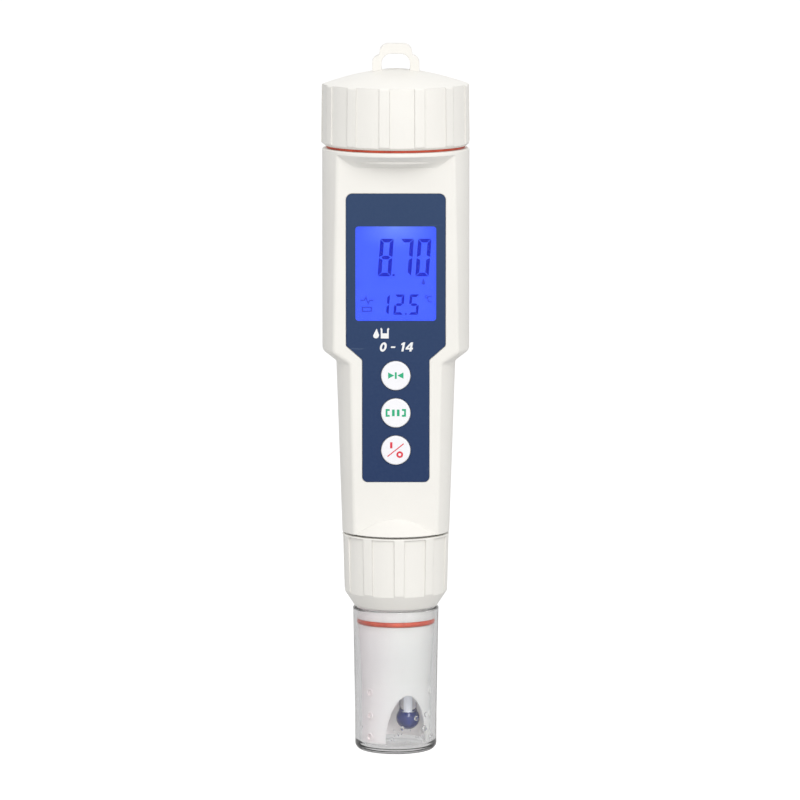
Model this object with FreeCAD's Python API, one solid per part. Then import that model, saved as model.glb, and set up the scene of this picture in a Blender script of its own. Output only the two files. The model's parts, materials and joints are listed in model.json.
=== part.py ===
"""pH test pen: a hand-held acidity tester with a screw-off battery cap and a plug-in electrode.

Millimetres.  +Z runs up the pen from the base of the clear storage cap to the lanyard eye,
-Y is the front with the display and the keys, +X is the pen's right-hand side seen from the
front.  The origin is the centre of the face that the pen stands on.
"""
import FreeCAD, Part
import math
import os
from FreeCAD import Placement, Rotation, Vector

# ---------------------------------------------------------------- driving dimensions
# Housing, all radii measured from the pen's axis
BODY_R = 18.75              # upper barrel
GRIP_TOP_R = 15.2           # grip just under the shoulder
GRIP_BOTTOM_R = 13.7        # grip at its bottom rim
RIM_TOP_Z = 155.25          # top rim that the battery cap closes on
SHOULDER_TOP_Z = 103.6
SHOULDER_BOTTOM_Z = 100.8
GRIP_BOTTOM_Z = 56.8
WALL = 1.75
FRONT_WALL = 1.8
RAIL_INNER = 13.9           # two guide rails on the inside of the barrel

# Threaded necks and the shared thread form
PITCH = 3.0
RIDGE_WIDTH = 0.95
RIDGE_EMBED = 0.2
TOP_NECK_R = 15.9
TOP_NECK_BORE_R = 15.0
TOP_NECK_Z = 166.0
TOP_THREAD_Z = 158.2
TOP_THREAD_TURNS = 2.0
LOW_NECK_R = 11.3
LOW_NECK_BORE_R = 9.9
LOW_NECK_Z = 44.3
LOW_THREAD_Z = 46.5
LOW_THREAD_TURNS = 2.5
THREAD_HEIGHT = 0.65

# Front panel: a flat that leans forward towards the top
PANEL_Z = 100.0             # height at which the flat is PANEL_DEPTH in front of the axis
PANEL_DEPTH = 9.88
PANEL_TILT = 1.63
BROW_Z = 151.0
BROW_TOP_Z = 154.2
BROW_HALF_W = 10.5
FLARE_H = 4.1
FLARE_TOP_R = 8.7
FLAT_EDGE_R = 1.1           # rounding along both long edges of the flat

# Overlay, display and keys
OVERLAY_TOP_Z = 144.4
OVERLAY_BOTTOM_Z = 70.5
OVERLAY_HALF_W = 12.6
OVERLAY_WAIST_HALF_W = 8.5
OVERLAY_SLANT_TOP_Z = 105.6
OVERLAY_SLANT_BOTTOM_Z = 102.0
OVERLAY_T = 0.45
OVERLAY_CLEARANCE = 0.1
RECESS_T = 0.5
WINDOW_W = 20.5
WINDOW_H = 24.2
WINDOW_Z = 124.0
KEY_D = 7.45
KEY_TOP_Z = 97.9
KEY_PITCH = 9.6
KEY_PROUD = 0.5
KEY_CLEARANCE = 0.15
KEY_HEIGHTS = [KEY_TOP_Z - KEY_PITCH * i for i in range(3)]
WINDOW_Z0 = WINDOW_Z - WINDOW_H / 2
WINDOW_Z1 = WINDOW_Z + WINDOW_H / 2

# Display parts behind the window: half widths and heights
LENS_HALF_W = 11.25
LENS_Z0 = 110.8
LENS_Z1 = 137.2
LCD_HALF_W = 11.4
LCD_Z0 = 110.4
LCD_GLASS_Z = 137.6         # top of the front glass; the back glass carries on as the contact edge
LCD_Z1 = 140.0
FRAME_HALF_W = 12.3
FRAME_Z0 = 107.9
FRAME_Z1 = 141.0
FRAME_WALL = 0.8
BOARD_HALF_W = 13.2
BOARD_WAIST_HALF_W = 9.6
BOARD_Z0 = 64.6
BOARD_Z1 = 141.4

# Depths below the flat of what lies behind it
LENS_BACK = 1.3
LCD_FRONT = 2.05
LCD_STEP = 3.1
LCD_BACK = 4.15
GUIDE_BACK = 5.6
BOARD_FRONT = 6.1
BOARD_T = 1.2
BOARD_BACK = BOARD_FRONT + BOARD_T
TRAY_H = 3.2
TRAY_RAIL = 1.4
SWITCH_H = 1.6
PLUNGER_H = 0.9
KEY_STEM_END = 3.15
SCREW_R = 0.8
SCREW_PLACES = [(-7.2, 106.4), (7.2, 106.4), (-7.6, 68.0), (7.6, 68.0)]

# Battery cap
CAP_R = 19.0
CAP_TOP_R = 18.8
CAP_Z = 155.9
CAP_WALL_Z = 156.5
CAP_SHOULDER_Z = 171.4
CAP_DOME_Z = 175.6
CAP_SEAL_RING_R = 17.35
CAP_SEAL_R = 0.3
CAP_BORE_R = 16.95
CAP_CEILING_Z = 170.4
CAP_RIBS = 13
CAP_RIB_DEG = 8.2
CAP_RIB_PHASE_DEG = -8.8    # angle of one rib from the front
GRIP_DEPTH = 0.32           # how far the grip panels are sunk between the ribs
EAR_T = 3.6
EAR_TOP_Z = 181.8

# Button cells, size LR44
CELL_D = 11.6
CELL_H = 5.4
CELL_COUNT = 4
CELL_BOTTOM_Z = 144.3
CELL_TOP_Z = CELL_BOTTOM_Z + CELL_COUNT * CELL_H
HOLDER_BORE_R = CELL_D / 2 + 0.12

# Collar
COLLAR_TOP_R = 13.7
COLLAR_R = 13.4
COLLAR_TOP_Z = 56.3
COLLAR_CONE_Z = 41.6
COLLAR_TIP_R = 10.6
COLLAR_TIP_Z = 37.5
COLLAR_BORE_R = 12.35
COLLAR_MOUTH_R = 9.95
COLLAR_LEDGE_Z = 41.9
COLLAR_BEAD_H = 0.4
COLLAR_RIBS = 10
COLLAR_RIB_DEG = 11.0
COLLAR_RIB_PHASE_DEG = 3.8
COLLAR_GRIP_DEPTH = 0.45

# Electrode
PROBE_R = 9.75
GUARD_R = 8.8
GUARD_BORE_R = 7.6
GUARD_BOTTOM_Z = 2.2
GUARD_CEILING_Z = 17.5
GUARD_TURN_DEG = 20.0       # the arched window stands turned from the front by this much
VENT_R = 1.1
VENT_HEIGHTS = (6.5, 12.0)  # round drain holes in the wall behind the window
ARCH_HALF_W = 5.3
ARCH_H = 12.9
DIMPLE_HEIGHTS = (4.1, 9.6, 15.6)
DIMPLE_PHASE_DEG = -47.0
FLANGE_R = 10.9
SENSOR_X = 3.1
SENSOR_Y = -1.2
BULB_R = 3.0
BULB_Z = 8.2
STEM_R = 2.2
TEMPERATURE_X = -3.0
TEMPERATURE_Y = -2.2
TEMPERATURE_R = 1.1
JUNCTION_X = -2.4
JUNCTION_Y = 3.4
JUNCTION_R = 0.9
PASSAGES = [
    (SENSOR_X, SENSOR_Y, STEM_R + 0.02),
    (TEMPERATURE_X, TEMPERATURE_Y, TEMPERATURE_R + 0.02),
    (JUNCTION_X, JUNCTION_Y, JUNCTION_R + 0.02)]
SEAL_Z = 33.6
SEAL_R = 0.62
PIN_COUNT = 4
PIN_RING_R = 4.6
PIN_R = 0.5
PIN_PHASE_DEG = 45.0
SLEEVE_R = 0.93
PLUG_TOP_Z = 54.2

# Storage cap, the clear cup
CUP_TOP_Z = 37.1
CUP_TOP_R = 11.0
CUP_BASE_R = 10.5
CUP_BORE_R = 10.05
CUP_FLOOR_T = 1.3
CUP_CORNER_R = 1.8

AXIS = Vector(0, 0, 1)
CENTRE = Vector(0, 0, 0)
BIG = 80.0
THROUGH = 4.0               # depth that surely passes the front wall


# ---------------------------------------------------------------- drawing helpers
def rounded_wire(points):
    """Closed wire in the XZ plane; each point is (x, z, corner radius)."""
    corners = [Vector(x, 0, z) for x, z, _ in points]
    count = len(points)
    starts = []
    ends = []
    arcs = []
    for i in range(count):
        here = corners[i]
        back = (corners[i - 1] - here).normalize()
        onward = (corners[(i + 1) % count] - here).normalize()
        radius = points[i][2]
        if radius == 0:
            starts.append(here)
            ends.append(here)
            arcs.append(None)
            continue
        half = back.getAngle(onward) / 2
        reach = radius / math.tan(half)
        bisector = (back + onward).normalize()
        start = here + back * reach
        end = here + onward * reach
        middle = here + bisector * (radius / math.sin(half) - radius)
        starts.append(start)
        ends.append(end)
        arcs.append(Part.Arc(start, middle, end).toShape())
    edges = []
    for i in range(count):
        if arcs[i] is not None:
            edges.append(arcs[i])
        following = starts[(i + 1) % count]
        if (following - ends[i]).Length > 1e-6:
            edges.append(Part.LineSegment(ends[i], following).toShape())
    return Part.Wire(edges)


def turned(points):
    """Solid of revolution about the pen's axis from (radius, z, corner radius) points."""
    return Part.Face(rounded_wire(points)).revolve(CENTRE, AXIS, 360)


def turned_at(points, x, y):
    """Solid of revolution about an upright line through (x, y)."""
    shape = turned(points)
    shape.translate(Vector(x, y, 0))
    return shape


def sharp(points):
    """Gives plain (a, b) points a corner radius of zero."""
    return [(a, b, 0) for a, b in points]


def rod(radius, z0, z1, x=0.0, y=0.0):
    """Upright cylinder."""
    return Part.makeCylinder(radius, z1 - z0, Vector(x, y, z0))


def pipe(outer, inner, z0, z1, x=0.0, y=0.0):
    """Upright tube."""
    return rod(outer, z0, z1, x, y).cut(rod(inner, z0 - 1, z1 + 1, x, y))


def block(x0, x1, y0, y1, z0, z1):
    """Box between two corners."""
    return Part.makeBox(x1 - x0, y1 - y0, z1 - z0, Vector(x0, y0, z0))


def o_ring(major, minor, z):
    """Round-section ring about the pen's axis."""
    return Part.makeTorus(major, minor, Vector(0, 0, z), AXIS)


def about_axis(shape, degrees):
    """Copy of a shape turned about the pen's axis."""
    copy = shape.copy()
    copy.rotate(CENTRE, AXIS, degrees)
    return copy


def ring_of(shape, count, start=0.0):
    """Copies of a shape spaced evenly about the pen's axis."""
    return [about_axis(shape, start + 360.0 * i / count) for i in range(count)]


def fused(first, others):
    """One solid from overlapping pieces."""
    return first.multiFuse(others).removeSplitter()


def helical_ridge(root_r, crest_r, z, turns):
    """Right-hand thread ridge that starts in the XZ plane at height z."""
    outward = 1 if crest_r > root_r else -1
    buried_r = root_r - outward * RIDGE_EMBED
    half_root = RIDGE_WIDTH / 2
    half_crest = RIDGE_WIDTH / 4
    profile = rounded_wire(sharp([
        (buried_r, -half_root),
        (crest_r, -half_crest),
        (crest_r, half_crest),
        (buried_r, half_root)]))
    helix = Part.makeHelix(PITCH, PITCH * turns, root_r)
    ridge = Part.Wire(helix.Edges).makePipeShell([profile], True, True)
    ridge.translate(Vector(0, 0, z))
    return ridge


def grip_cutters(bottom, top, count, rib_deg, phase_deg):
    """Sunken panels between narrow upright ribs; bottom and top are (radius, z) of their floor."""
    sweep = 360.0 / count - rib_deg
    section = rounded_wire(sharp([bottom, (BIG, bottom[1]), (BIG, top[1]), top]))
    sector = Part.Face(section).revolve(CENTRE, AXIS, sweep)
    first = phase_deg - 90.0 + rib_deg / 2
    return ring_of(sector, count, first)


# ---------------------------------------------------------------- front panel frame
PANEL = Placement(Vector(0, -PANEL_DEPTH, PANEL_Z), Rotation(Vector(1, 0, 0), PANEL_TILT))


def up(z):
    """Height above the panel frame's own origin."""
    return z - PANEL_Z


def on_panel(shape):
    """Moves a shape from the panel frame, where y is the depth below the flat."""
    copy = shape.copy()
    copy.Placement = PANEL.multiply(copy.Placement)
    return copy


def panel_depth_at(z):
    """How far the flat stands in front of the pen's axis at a height."""
    return PANEL_DEPTH + (z - PANEL_Z) * math.tan(math.radians(PANEL_TILT))


def panel_block(x0, x1, depth0, depth1, z0, z1):
    """Box given in the panel frame, with true heights."""
    return on_panel(block(x0, x1, depth0, depth1, up(z0), up(z1)))


def panel_rod(radius, depth0, depth1, x, z):
    """Cylinder square to the panel."""
    start = Vector(x, depth0, up(z))
    return on_panel(Part.makeCylinder(radius, depth1 - depth0, start, Vector(0, 1, 0)))


def panel_plate(points, depth0, depth1):
    """Plate with a rounded outline, lying in the panel frame."""
    wire = rounded_wire([(x, up(z), radius) for x, z, radius in points])
    plate = Part.Face(wire).extrude(Vector(0, depth1 - depth0, 0))
    plate.translate(Vector(0, depth0, 0))
    return on_panel(plate)


def rectangle(half_w, z0, z1, radius):
    """Outline of a rounded rectangle centred on the pen's front."""
    return [(-half_w, z0, radius), (half_w, z0, radius), (half_w, z1, radius), (-half_w, z1, radius)]


def overlay_outline(grow):
    """Wide over the display, narrow along the keys; grow moves the edge outward."""
    wide = OVERLAY_HALF_W + grow
    narrow = OVERLAY_WAIST_HALF_W + grow
    right = [
        (narrow, OVERLAY_BOTTOM_Z - grow, 1.3 + grow),
        (narrow, OVERLAY_SLANT_BOTTOM_Z - grow, 0.8),
        (wide, OVERLAY_SLANT_TOP_Z - grow, 0.8),
        (wide, OVERLAY_TOP_Z + grow, 1.6 + grow)]
    left = [(-x, z, radius) for x, z, radius in reversed(right)]
    return right + left


# ---------------------------------------------------------------- housing
def brow():
    """Overhang that carries the flat out to the round top rim."""
    half_w = math.sqrt(BODY_R ** 2 - panel_depth_at(BROW_TOP_Z) ** 2)
    rim_left = Vector(-half_w, -panel_depth_at(BROW_TOP_Z), BROW_TOP_Z)
    rim_right = Vector(half_w, -panel_depth_at(BROW_TOP_Z), BROW_TOP_Z)
    foot_left = Vector(-BROW_HALF_W, -panel_depth_at(BROW_Z), BROW_Z)
    foot_right = Vector(BROW_HALF_W, -panel_depth_at(BROW_Z), BROW_Z)
    rim = Part.Arc(rim_left, Vector(0, -BODY_R, BROW_TOP_Z), rim_right).toShape()
    chord = Part.LineSegment(rim_left, rim_right).toShape()
    foot = Part.LineSegment(foot_left, foot_right).toShape()
    left = Part.LineSegment(rim_left, foot_left).toShape()
    right = Part.LineSegment(rim_right, foot_right).toShape()
    back = Part.Face(Part.Wire([chord, right, foot, left]))
    faces = [Part.Face(Part.Wire([rim, chord])), back, Part.makeRuledSurface(rim, foot)]
    shell = Part.makeShell(faces)
    shell.sewShape()
    solid = Part.makeSolid(shell)
    if solid.Volume < 0:
        solid.reverse()
    root = back.extrude(Vector(0, FRONT_WALL - 0.1, 0))
    return [solid, root]


def barrel():
    """Round barrel and grip with the front flat, its long edges rounded."""
    outer = turned([
        (0, GRIP_BOTTOM_Z, 0),
        (GRIP_BOTTOM_R, GRIP_BOTTOM_Z, 0),
        (GRIP_TOP_R, SHOULDER_BOTTOM_Z, 1.2),
        (BODY_R, SHOULDER_TOP_Z, 1.6),
        (BODY_R, RIM_TOP_Z - 0.3, 0),
        (0, RIM_TOP_Z - 0.3, 0)])
    outer = outer.cut(on_panel(block(-BIG, BIG, -BIG, 0, -BIG, BIG)))
    to_panel = PANEL.inverse()
    long_edges = []
    for edge in outer.Edges:
        middle = edge.valueAt((edge.FirstParameter + edge.LastParameter) / 2)
        ends_on_flat = all(abs(to_panel.multVec(v.Point).y) < 0.01 for v in edge.Vertexes)
        straight = isinstance(edge.Curve, Part.Line)
        if ends_on_flat and not straight and abs(to_panel.multVec(middle).y) < 0.01:
            long_edges.append(edge)
    return outer.makeFillet(FLAT_EDGE_R, long_edges)


def housing_shell():
    rim_band = turned([
        (0, BROW_TOP_Z, 0),
        (BODY_R, BROW_TOP_Z, 0),
        (BODY_R, RIM_TOP_Z, 0.5),
        (0, RIM_TOP_Z, 0)])
    flare = Part.makeCone(GRIP_BOTTOM_R - 0.25, FLARE_TOP_R, FLARE_H, Vector(0, 0, GRIP_BOTTOM_Z))
    top_neck = turned([
        (0, RIM_TOP_Z - 3, 0),
        (TOP_NECK_R, RIM_TOP_Z - 3, 0),
        (TOP_NECK_R, TOP_NECK_Z, 0.4),
        (0, TOP_NECK_Z, 0)])
    low_neck = turned([
        (0, LOW_NECK_Z, 0),
        (LOW_NECK_R, LOW_NECK_Z, 0.4),
        (LOW_NECK_R, GRIP_BOTTOM_Z + 1.5, 0),
        (0, GRIP_BOTTOM_Z + 1.5, 0)])
    shell = fused(barrel(), [rim_band, flare, top_neck, low_neck] + brow())

    hollow = turned(sharp([
        (0, GRIP_BOTTOM_Z + 1.6),
        (GRIP_BOTTOM_R - WALL, GRIP_BOTTOM_Z + 1.6),
        (GRIP_TOP_R - WALL, SHOULDER_BOTTOM_Z + 0.6),
        (BODY_R - WALL, SHOULDER_TOP_Z + 0.6),
        (BODY_R - WALL, BROW_Z - 1.5),
        (TOP_NECK_BORE_R, RIM_TOP_Z - 1.6),
        (0, RIM_TOP_Z - 1.6)]))
    behind_flat = on_panel(block(-BIG, BIG, FRONT_WALL, BIG, -BIG, BIG))
    hollow = hollow.common(behind_flat)
    shell = shell.cut(hollow)
    shell = shell.cut(rod(TOP_NECK_BORE_R, RIM_TOP_Z - 2.5, TOP_NECK_Z + 1))
    shell = shell.cut(rod(LOW_NECK_BORE_R, LOW_NECK_Z - 1, GRIP_BOTTOM_Z + 2))

    shell = shell.cut(panel_plate(overlay_outline(OVERLAY_CLEARANCE), -0.6, RECESS_T))
    lens_seat = rectangle(LENS_HALF_W + 0.1, LENS_Z0 - 0.1, LENS_Z1 + 0.1, 1.0)
    shell = shell.cut(panel_plate(lens_seat, 0, LENS_BACK + 0.05))
    opening = rectangle(WINDOW_W / 2 + 0.2, WINDOW_Z0 - 0.2, WINDOW_Z1 + 0.2, 0.9)
    shell = shell.cut(panel_plate(opening, 0, THROUGH))
    for z in KEY_HEIGHTS:
        shell = shell.cut(panel_rod(KEY_D / 2 + KEY_CLEARANCE, -1, THROUGH, 0, z))

    rails = [
        block(-BODY_R + 1.35, -RAIL_INNER, 3.4, 4.6, 107, 148),
        block(RAIL_INNER, BODY_R - 1.35, 3.4, 4.6, 107, 148)]
    shell = fused(shell, rails)
    ridges = [
        helical_ridge(TOP_NECK_R, TOP_NECK_R + THREAD_HEIGHT, TOP_THREAD_Z, TOP_THREAD_TURNS),
        helical_ridge(LOW_NECK_R, LOW_NECK_R + THREAD_HEIGHT, LOW_THREAD_Z, LOW_THREAD_TURNS)]
    for ridge in ridges:
        shell = shell.fuse(ridge)
    return shell


def front_overlay():
    sheet = panel_plate(overlay_outline(0), RECESS_T - OVERLAY_T, RECESS_T)
    sheet = sheet.cut(panel_plate(rectangle(WINDOW_W / 2, WINDOW_Z0, WINDOW_Z1, 0.8), -1, 2))
    for z in KEY_HEIGHTS:
        sheet = sheet.cut(panel_rod(KEY_D / 2 + KEY_CLEARANCE, -1, 2, 0, z))
    return sheet


def display_window():
    return panel_plate(rectangle(LENS_HALF_W, LENS_Z0, LENS_Z1, 0.9), RECESS_T, LENS_BACK)


def battery_cap_seal():
    return o_ring(CAP_SEAL_RING_R, CAP_SEAL_R, (RIM_TOP_Z + CAP_Z) / 2)


# ---------------------------------------------------------------- display and board
def lcd_panel():
    front = panel_block(-LCD_HALF_W, LCD_HALF_W, LCD_FRONT, LCD_STEP, LCD_Z0, LCD_GLASS_Z)
    back = panel_block(-LCD_HALF_W, LCD_HALF_W, LCD_STEP, LCD_BACK, LCD_Z0, LCD_Z1)
    return front.fuse(back).removeSplitter()


def lcd_frame():
    inner_w = FRAME_HALF_W - FRAME_WALL
    z0 = FRAME_Z0 + FRAME_WALL
    z1 = FRAME_Z1 - FRAME_WALL
    outer = panel_block(-FRAME_HALF_W, FRAME_HALF_W, LCD_FRONT, BOARD_FRONT, FRAME_Z0, FRAME_Z1)
    pocket = panel_block(-inner_w, inner_w, LCD_FRONT - 1, BOARD_FRONT + 1, z0, z1)
    return outer.cut(pocket)


def backlight_guide():
    plate = panel_block(-11.2, 11.2, LCD_BACK + 0.05, GUIDE_BACK, 112.0, 136.0)
    lip = panel_block(-8.0, 8.0, LCD_BACK + 0.3, GUIDE_BACK - 0.2, 111.4, 112.2)
    return fused(plate, [lip])


def backlight_leds():
    return [panel_block(x - 1.6, x + 1.6, 4.5, BOARD_FRONT, 109.9, 111.2) for x in (-5.5, 5.5)]


def elastomer_connector():
    return panel_block(-10.6, 10.6, LCD_BACK, BOARD_FRONT, 137.4, 139.2)


def main_board():
    right = [
        (BOARD_WAIST_HALF_W, BOARD_Z0, 0.8), (BOARD_WAIST_HALF_W, 101.0, 0.5),
        (BOARD_HALF_W, 104.6, 0.5), (BOARD_HALF_W, BOARD_Z1, 1.0)]
    left = [(-x, z, radius) for x, z, radius in reversed(right)]
    board = panel_plate(right + left, BOARD_FRONT, BOARD_BACK)
    for x, z in SCREW_PLACES:
        board = board.cut(panel_rod(SCREW_R + 0.15, BOARD_FRONT - 1, BOARD_BACK + 1, x, z))
    return board


def tact_switches():
    switches = []
    top = BOARD_FRONT - SWITCH_H
    for z in KEY_HEIGHTS:
        case = panel_block(-2.6, 2.6, top, BOARD_FRONT, z - 2.6, z + 2.6)
        plunger = panel_rod(1.2, top - PLUNGER_H, top + 0.3, 0, z)
        switches.append(fused(case, [plunger]))
    return switches


def microcontroller():
    case = panel_block(-5.0, 5.0, BOARD_BACK + 0.15, BOARD_BACK + 1.6, 118.0, 128.0)
    legs = []
    for i in range(11):
        offset = -4.0 + 0.8 * i
        legs.append(panel_block(offset - 0.18, offset + 0.18, BOARD_BACK, BOARD_BACK + 0.7, 117.0, 129.0))
        z = WINDOW_Z - 1 + offset
        legs.append(panel_block(-6.0, 6.0, BOARD_BACK, BOARD_BACK + 0.7, z - 0.18, z + 0.18))
    return fused(case, legs)


def amplifier_chip():
    case = panel_block(-2.0, 2.0, BOARD_BACK + 0.1, BOARD_BACK + 1.5, 76.0, 81.0)
    legs = []
    for i in range(4):
        z = 76.6 + 1.27 * i
        legs.append(panel_block(-3.1, 3.1, BOARD_BACK, BOARD_BACK + 0.6, z - 0.2, z + 0.2))
    return fused(case, legs)


def chip_capacitors():
    places = [(-6.2, 91.0), (-6.2, 95.0), (6.2, 91.0), (6.2, 95.0), (-9.0, 131.0), (9.0, 131.0)]
    size_w = 0.8
    size_h = 1.2
    return [
        panel_block(x - size_w, x + size_w, BOARD_BACK, BOARD_BACK + 1.0, z - size_h / 2, z + size_h / 2)
        for x, z in places]


def inner_chassis():
    """Tray behind the board: two rails, cross-bars and four screw posts."""
    depth0 = BOARD_BACK
    depth1 = BOARD_BACK + TRAY_H
    bar0 = BOARD_BACK + 1.7
    narrow = 9.4
    wide = 13.0
    pieces = []
    for edge, z0, z1 in ((narrow, 65.5, 102.0), (wide, 104.5, 137.6)):
        pieces.append(panel_block(edge - TRAY_RAIL, edge, depth0, depth1, z0, z1))
        pieces.append(panel_block(-edge, TRAY_RAIL - edge, depth0, depth1, z0, z1))
    for edge, z in ((narrow, 65.5), (narrow, 83.5), (narrow, 100.6), (wide, 104.5), (wide, 136.1)):
        pieces.append(panel_block(-edge, edge, bar0, depth1, z, z + 1.5))
    pieces.append(panel_block(narrow - TRAY_RAIL, narrow, bar0, depth1, 101.0, 106.0))
    pieces.append(panel_block(-narrow, TRAY_RAIL - narrow, bar0, depth1, 101.0, 106.0))
    for x, z in SCREW_PLACES:
        pieces.append(panel_rod(SCREW_R + 1.1, depth0, depth1, x, z))
    tray = fused(pieces[0], pieces[1:])
    for x, z in SCREW_PLACES:
        tray = tray.cut(panel_rod(SCREW_R, depth0 - 1, depth1 + 1, x, z))
    return tray


def board_screws():
    screws = []
    for x, z in SCREW_PLACES:
        shank = panel_rod(SCREW_R, BOARD_FRONT - 0.1, BOARD_BACK + 2.8, x, z)
        head = panel_rod(1.5, BOARD_FRONT - 0.9, BOARD_FRONT, x, z)
        slot_end = BOARD_FRONT - 0.5
        slot = panel_block(x - 1.1, x + 1.1, slot_end - 1, slot_end, z - 0.2, z + 0.2)
        cross = panel_block(x - 0.2, x + 0.2, slot_end - 1, slot_end, z - 1.1, z + 1.1)
        screws.append(fused(shank, [head]).cut(slot).cut(cross))
    return screws


# ---------------------------------------------------------------- battery compartment
def battery_holder():
    holder = turned([
        (0, 142.0, 0), (7.2, 142.0, 0.5), (7.2, 164.2, 0.5), (14.8, 164.2, 0.3),
        (14.8, CELL_TOP_Z, 0.3), (0, CELL_TOP_Z, 0)])
    holder = holder.cut(rod(HOLDER_BORE_R, CELL_BOTTOM_Z - 1.5, CELL_TOP_Z + 1))
    holder = holder.cut(rod(1.0, 141.0, 144.0))
    grips = ring_of(block(-1.6, 1.6, -8.0, -4.0, 150.0, CELL_TOP_Z + 1), 2)
    for grip in grips:
        holder = holder.cut(grip)
    holder = holder.cut(block(8.2, 10.2, -2.0, 2.0, 160.0, CELL_TOP_Z + 1))
    vents = ring_of(rod(1.3, 160.0, CELL_TOP_Z + 1, 0, 11.0), 3, 30.0)
    for vent in vents:
        holder = holder.cut(vent)
    return holder


def button_cells():
    cells = []
    for i in range(CELL_COUNT):
        z = CELL_BOTTOM_Z + i * CELL_H
        cells.append(turned([
            (0, z, 0), (3.9, z, 0.2), (4.1, z + 0.45, 0.1), (5.5, z + 0.45, 0.3),
            (CELL_D / 2, z + 0.9, 0.2), (CELL_D / 2, z + CELL_H - 0.02, 0.4), (0, z + CELL_H - 0.02, 0)]))
    return cells


def battery_spring():
    """Coned coil under the stack, drawn as a flat-wound wire."""
    height = 1.2
    helix = Part.makeHelix(0.55, height, 4.2, -20)
    start = Vector(4.2, 0, 0)
    section = Part.Wire(Part.makeCircle(0.2, start, Vector(0, 1, 0)))
    coil = Part.Wire(helix.Edges).makePipeShell([section], True, True)
    coil.translate(Vector(0, 0, CELL_BOTTOM_Z - 1.5 + 0.22))
    return coil


def ring_contact():
    ring = pipe(12.3, 9.3, CELL_TOP_Z + 0.02, CELL_TOP_Z + 0.32)
    tab = block(8.5, 9.6, -1.2, 1.2, CELL_TOP_Z + 0.02, CELL_TOP_Z + 0.32)
    return fused(ring, [tab])


def contact_strips():
    """Two sheet-metal strips that carry the current from the cells down to the board."""
    thick = 0.3
    board_y = -panel_depth_at(139.0) + BOARD_BACK + 0.3
    plus = fused(block(8.6, 8.6 + thick, -1.2, 1.2, 139.2, CELL_TOP_Z), [
        block(8.6, 8.6 + thick, board_y, 1.2, 138.6, 141.0)])
    minus = fused(block(-6.0, 0.8, -0.8, 0.8, 141.6, 141.6 + thick), [
        block(-6.0, -6.0 + thick, -0.8, 0.8, 138.6, 141.9),
        block(-6.0, -6.0 + thick, board_y, 0.8, 138.6, 141.0)])
    return [plus, minus]


# ---------------------------------------------------------------- keys
def key_cap(z):
    face = panel_rod(KEY_D / 2, RECESS_T - OVERLAY_T - KEY_PROUD, FRONT_WALL + 0.05, 0, z)
    rim = [edge for edge in face.Edges if edge.Length > KEY_D and edge.CenterOfMass.y < face.CenterOfMass.y]
    face = face.makeFillet(0.35, rim)
    flange = panel_rod(KEY_D / 2 + 0.7, FRONT_WALL + 0.05, FRONT_WALL + 0.7, 0, z)
    stem = panel_rod(1.7, FRONT_WALL + 0.5, KEY_STEM_END, 0, z)
    return fused(face, [flange, stem])


# ---------------------------------------------------------------- battery cap
def lanyard_ear():
    right = [(6.0, 172.8, 0), (6.0, 178.4, 2.1), (4.2, 178.95, 0.3), (3.9, EAR_TOP_Z, 2.2)]
    left = [(-x, z, radius) for x, z, radius in reversed(right)]
    ear = Part.Face(rounded_wire(right + left)).extrude(Vector(0, EAR_T, 0))
    ear.translate(Vector(0, -EAR_T / 2, 0))
    hole = Part.Face(rounded_wire([
        (3.6, 175.0, 0.5), (3.6, 179.2, 2.5), (-3.6, 179.2, 2.5), (-3.6, 175.0, 0.5)]))
    hole = hole.extrude(Vector(0, EAR_T + 2, 0))
    hole.translate(Vector(0, -EAR_T / 2 - 1, 0))
    return ear, hole


def battery_cap():
    outer = turned([
        (0, CAP_Z, 0),
        (CAP_R - 1.0, CAP_Z, 0),
        (CAP_R, CAP_WALL_Z + 0.2, 0.3),
        (CAP_TOP_R, CAP_SHOULDER_Z, 0.5),
        (10.5, 174.1, 60.0),
        (0, CAP_DOME_Z, 0)])
    draft = (CAP_R - CAP_TOP_R) / (CAP_SHOULDER_Z - CAP_WALL_Z)
    low = (CAP_R - GRIP_DEPTH + draft, CAP_WALL_Z - 1)
    high = (CAP_TOP_R - GRIP_DEPTH - 2 * draft, CAP_SHOULDER_Z + 2)
    for cutter in grip_cutters(low, high, CAP_RIBS, CAP_RIB_DEG, CAP_RIB_PHASE_DEG):
        outer = outer.cut(cutter)
    ear, hole = lanyard_ear()
    cap = outer.fuse(ear).removeSplitter()
    cap = cap.cut(hole)
    bore = turned(sharp([
        (0, CAP_Z - 1), (CAP_BORE_R, CAP_Z - 1), (CAP_BORE_R, CAP_CEILING_Z - 1.2),
        (CAP_BORE_R - 1.2, CAP_CEILING_Z), (0, CAP_CEILING_Z)]))
    cap = cap.cut(bore)
    presser = pipe(8.0, 5.4, 168.95, CAP_CEILING_Z + 0.4)
    cap = fused(cap, [presser])
    ridge = helical_ridge(CAP_BORE_R, CAP_BORE_R - THREAD_HEIGHT - 0.05, TOP_THREAD_Z + PITCH / 2, 1.0)
    return cap.fuse(ridge)


def cap_contact():
    """Dished spring washer: its middle meets the top cell and its edge the ring contact."""
    t = 0.35
    middle_z = CELL_TOP_Z + 0.15
    edge_z = CELL_TOP_Z + 0.45
    crown_z = 168.45
    return turned([
        (0, middle_z, 0), (2.6, middle_z, 0.5), (4.6, crown_z, 0.5), (8.4, crown_z, 0.5),
        (9.8, edge_z, 0.4), (12.0, edge_z, 0), (12.0, edge_z + t, 0), (10.1, edge_z + t, 0.4),
        (8.7, crown_z + t, 0.5), (4.3, crown_z + t, 0.5), (2.3, middle_z + t, 0.5), (0, middle_z + t, 0)])


# ---------------------------------------------------------------- electrode module
def socket_holes(radius, z0, z1):
    return ring_of(rod(radius, z0, z1, 0, -PIN_RING_R), PIN_COUNT, PIN_PHASE_DEG)


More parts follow.
